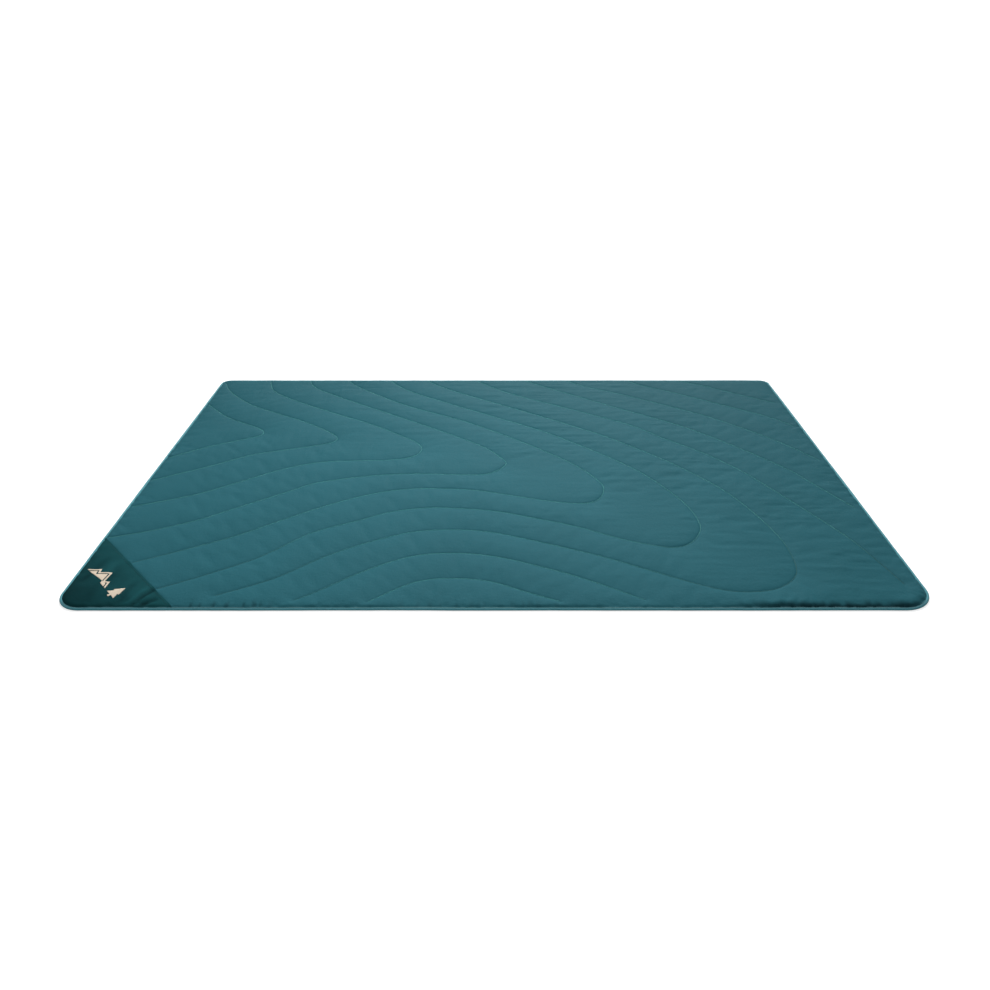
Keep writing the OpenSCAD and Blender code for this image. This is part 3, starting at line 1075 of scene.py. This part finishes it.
mark_flat, mark_triangles = filled(top_loop("corner_mark"), 2 * MM)
mark_points = np.array([(p[0], p[1], on_panel(p) + 0.30 * MM) for p in mark_flat])
mark_points, mark_triangles, _ = drop_unused(mark_points, mark_triangles)
give(mesh_object("patch_print", *closed_sheet(mark_points, mark_triangles, 0.22 * MM)), MARK,
     "mark", "corner_mark")

# -------- the label underneath
label_loop = np.array([(label_low.x, label_low.y), (label_high.x, label_low.y),
                       (label_high.x, label_high.y), (label_low.x, label_high.y)])
label_flat, label_triangles = filled([label_loop], 2 * MM)
label_top = 0.16 * MM + 0.03 * MM * noise(label_flat[:, 0] / 0.01, label_flat[:, 1] / 0.01, 61)
label = mesh_object("sewn_label", *closed_sheet(np.column_stack([label_flat, label_top]),
                                                label_triangles, 0.15 * MM))
give(label, LABEL, "label", "care_label")

# -------- floor, light and camera
FLOOR_REACH = 60.0
FLOOR_Z = -0.2 * MM
floor_mesh = bpy.data.meshes.new("floor")
floor_mesh.from_pydata([(sx * FLOOR_REACH, sy * FLOOR_REACH, FLOOR_Z)
                        for sx, sy in ((-1, -1), (1, -1), (1, 1), (-1, 1))], [], [(0, 1, 2, 3)])
floor = add_object("floor", floor_mesh)


def paper(tree, colour):
    """Builder for the studio floor: matt paper with the faintest grain."""
    vector = place(tree)
    grain = noise_at(tree, vector, 30, 2.0)
    return tinted(tree, colour, remap(tree, grain, 0.99, 1.01)), None, None


# The paper glows a little to the eye, as over a light table, but throws no light on the blanket.
FLOOR_GREY = (0.62, 0.62, 0.62)
FLOOR_GLOW = 0.75
PAPER = make_material("studio_paper", FLOOR_GREY, paper, 0.9, 0.0)
paper_tree = PAPER.node_tree
paper_shader = next(n for n in paper_tree.nodes if n.type == "BSDF_PRINCIPLED")
paper_shader.inputs["Emission Color"].default_value = (1, 1, 1, 1)
seen = paper_tree.nodes.new("ShaderNodeLightPath").outputs["Is Camera Ray"]
paper_tree.links.new(maths(paper_tree, "MULTIPLY", seen, FLOOR_GLOW),
                paper_shader.inputs["Emission Strength"])
floor.data.materials.append(PAPER)


def add_light(name, kind, power, shines_along):
    """Light of a kind and power that shines along a direction."""
    lamp = bpy.data.lights.new(name, kind)
    lamp.energy = power
    holder = add_object(name, lamp)
    holder.rotation_euler = Vector(shines_along).to_track_quat("-Z", "Y").to_euler()
    return holder


key = add_light("key", "AREA", 10.0, (0, 0, -1))
key.location = (-0.16, 0.14, 1.30)
key.data.size = 0.7
sun = add_light("sun", "SUN", 2.85, (-0.08, -1.0, -0.62))
sun.data.angle = math.radians(25)

# A studio that looks plain white all round. Its light comes from low down behind the blanket,
# less from overhead and least from the front.
WHITE = 1.15
OVERHEAD = 0.20
world = bpy.data.worlds.new("studio")
world.use_nodes = True
sky = world.node_tree
split = sky.nodes.new("ShaderNodeSeparateXYZ")
sky.links.new(sky.nodes.new("ShaderNodeTexCoord").outputs["Generated"], split.inputs["Vector"])


def fading(value, start, end, low, high):
    """Value between start and end, turned into a smooth change from low to high."""
    step = sky.nodes.new("ShaderNodeMapRange")
    step.interpolation_type = "SMOOTHSTEP"
    for socket, number in zip(list(step.inputs)[1:5], (start, end, low, high)):
        socket.default_value = number
    sky.links.new(value, step.inputs["Value"])
    return step.outputs["Result"]


low_band = fading(split.outputs["Z"], 0.05, 0.45, WHITE - OVERHEAD, 0.0)
from_behind = fading(split.outputs["Y"], -0.3, 0.5, 0.15, 1.0)
glow = maths(sky, "ADD", maths(sky, "MULTIPLY", low_band, from_behind),
             OVERHEAD)
camera_sees = sky.nodes.new("ShaderNodeLightPath").outputs["Is Camera Ray"]
strength = maths(sky, "MAXIMUM", glow,
                 maths(sky, "MULTIPLY", camera_sees, WHITE))
sky.links.new(strength, sky.nodes["Background"].inputs["Strength"])
sky.nodes["Background"].inputs["Color"].default_value = (1, 1, 1, 1)
bpy.context.scene.world = world

# The camera looks along +Y and down, from before the front edge.
CAMERA_X = -0.001
CAMERA_BEFORE = 1.440
CAMERA_HEIGHT = 1.092
CAMERA_DOWN = 29.29
camera = add_object("camera", bpy.data.cameras.new("camera"))
camera.data.sensor_width = 36.0
camera.data.lens = 30.48
camera.location = (CAMERA_X, -HALF_Y - CAMERA_BEFORE, CAMERA_HEIGHT)
camera.rotation_euler = (math.radians(90 - CAMERA_DOWN), 0, 0)
bpy.context.scene.camera = camera
bpy.context.scene.view_settings.view_transform = "Standard"
